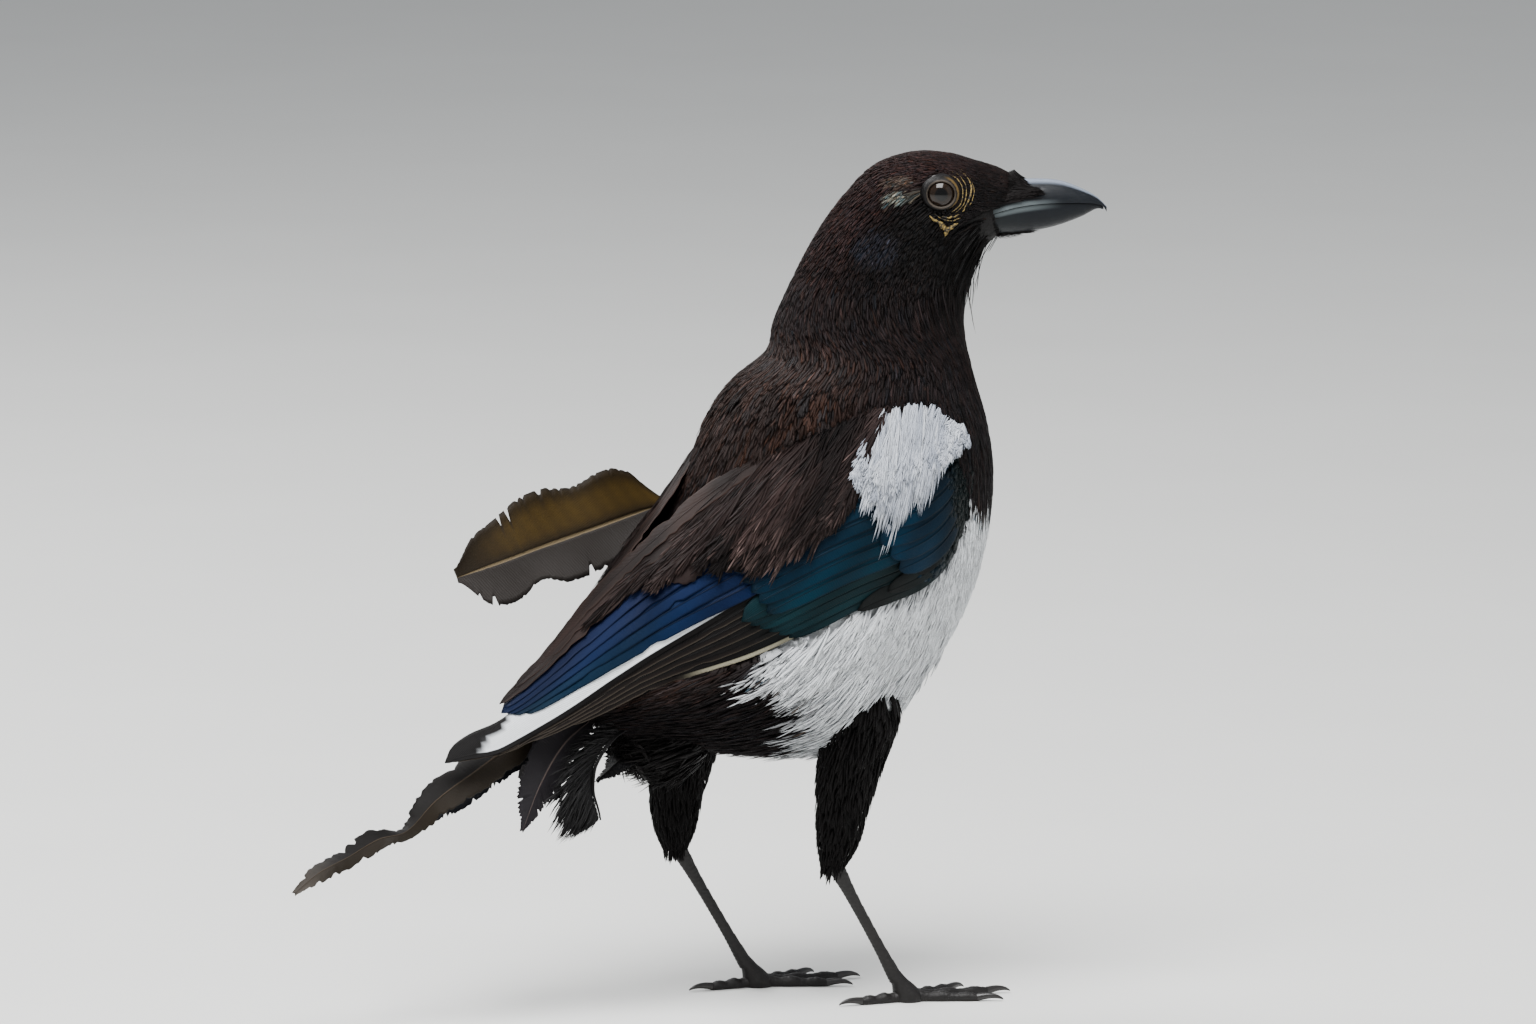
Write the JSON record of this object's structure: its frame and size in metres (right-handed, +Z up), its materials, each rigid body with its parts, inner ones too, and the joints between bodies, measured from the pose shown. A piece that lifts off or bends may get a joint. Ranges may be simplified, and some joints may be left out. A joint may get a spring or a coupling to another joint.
{
  "type": "eurasian magpie",
  "caption": "Life-size still model of a standing Eurasian magpie with folded wings, a worn tail and its head turned over the right shoulder.",
  "frame": {"origin": "middle of the bird's bounding box, on the ground under its feet", "axes": "+X towards the bird's front, +Y to its left, +Z up"},
  "size_m": [0.2576, 0.095, 0.2537],
  "materials": {
    "black_feather": "satin",
    "body_feather": "matt",
    "white_feather": "matt",
    "wing_feather": "glossy blue and green",
    "tail_feather": "satin",
    "bill": "gloss",
    "eye": "wet gloss",
    "leg_skin": "satin",
    "claw": "satin"
  },
  "bodies": {
    "root": {"torso": "body_feather", "neck": "black_feather", "head": "black_feather", "bill_upper": "bill", "bill_lower": "bill", "eye_right": "eye", "eye_left": "eye", "wing_right": "wing_feather", "wing_left": "wing_feather", "scapulars_white_right": "white_feather", "scapulars_white_left": "white_feather", "scapulars_black_right": "black_feather", "scapulars_black_left": "black_feather", "tail": "tail_feather", "undertail_coverts": "black_feather", "thigh_right": "black_feather", "thigh_left": "black_feather", "tarsus_right": "leg_skin", "tarsus_left": "leg_skin", "foot_right": "leg_skin", "foot_left": "leg_skin", "claw_right_1": "claw", "claw_right_2": "claw", "claw_right_3": "claw", "claw_right_4": "claw", "claw_left_1": "claw", "claw_left_2": "claw", "claw_left_3": "claw", "claw_left_4": "claw"}
  },
  "joints": []
}
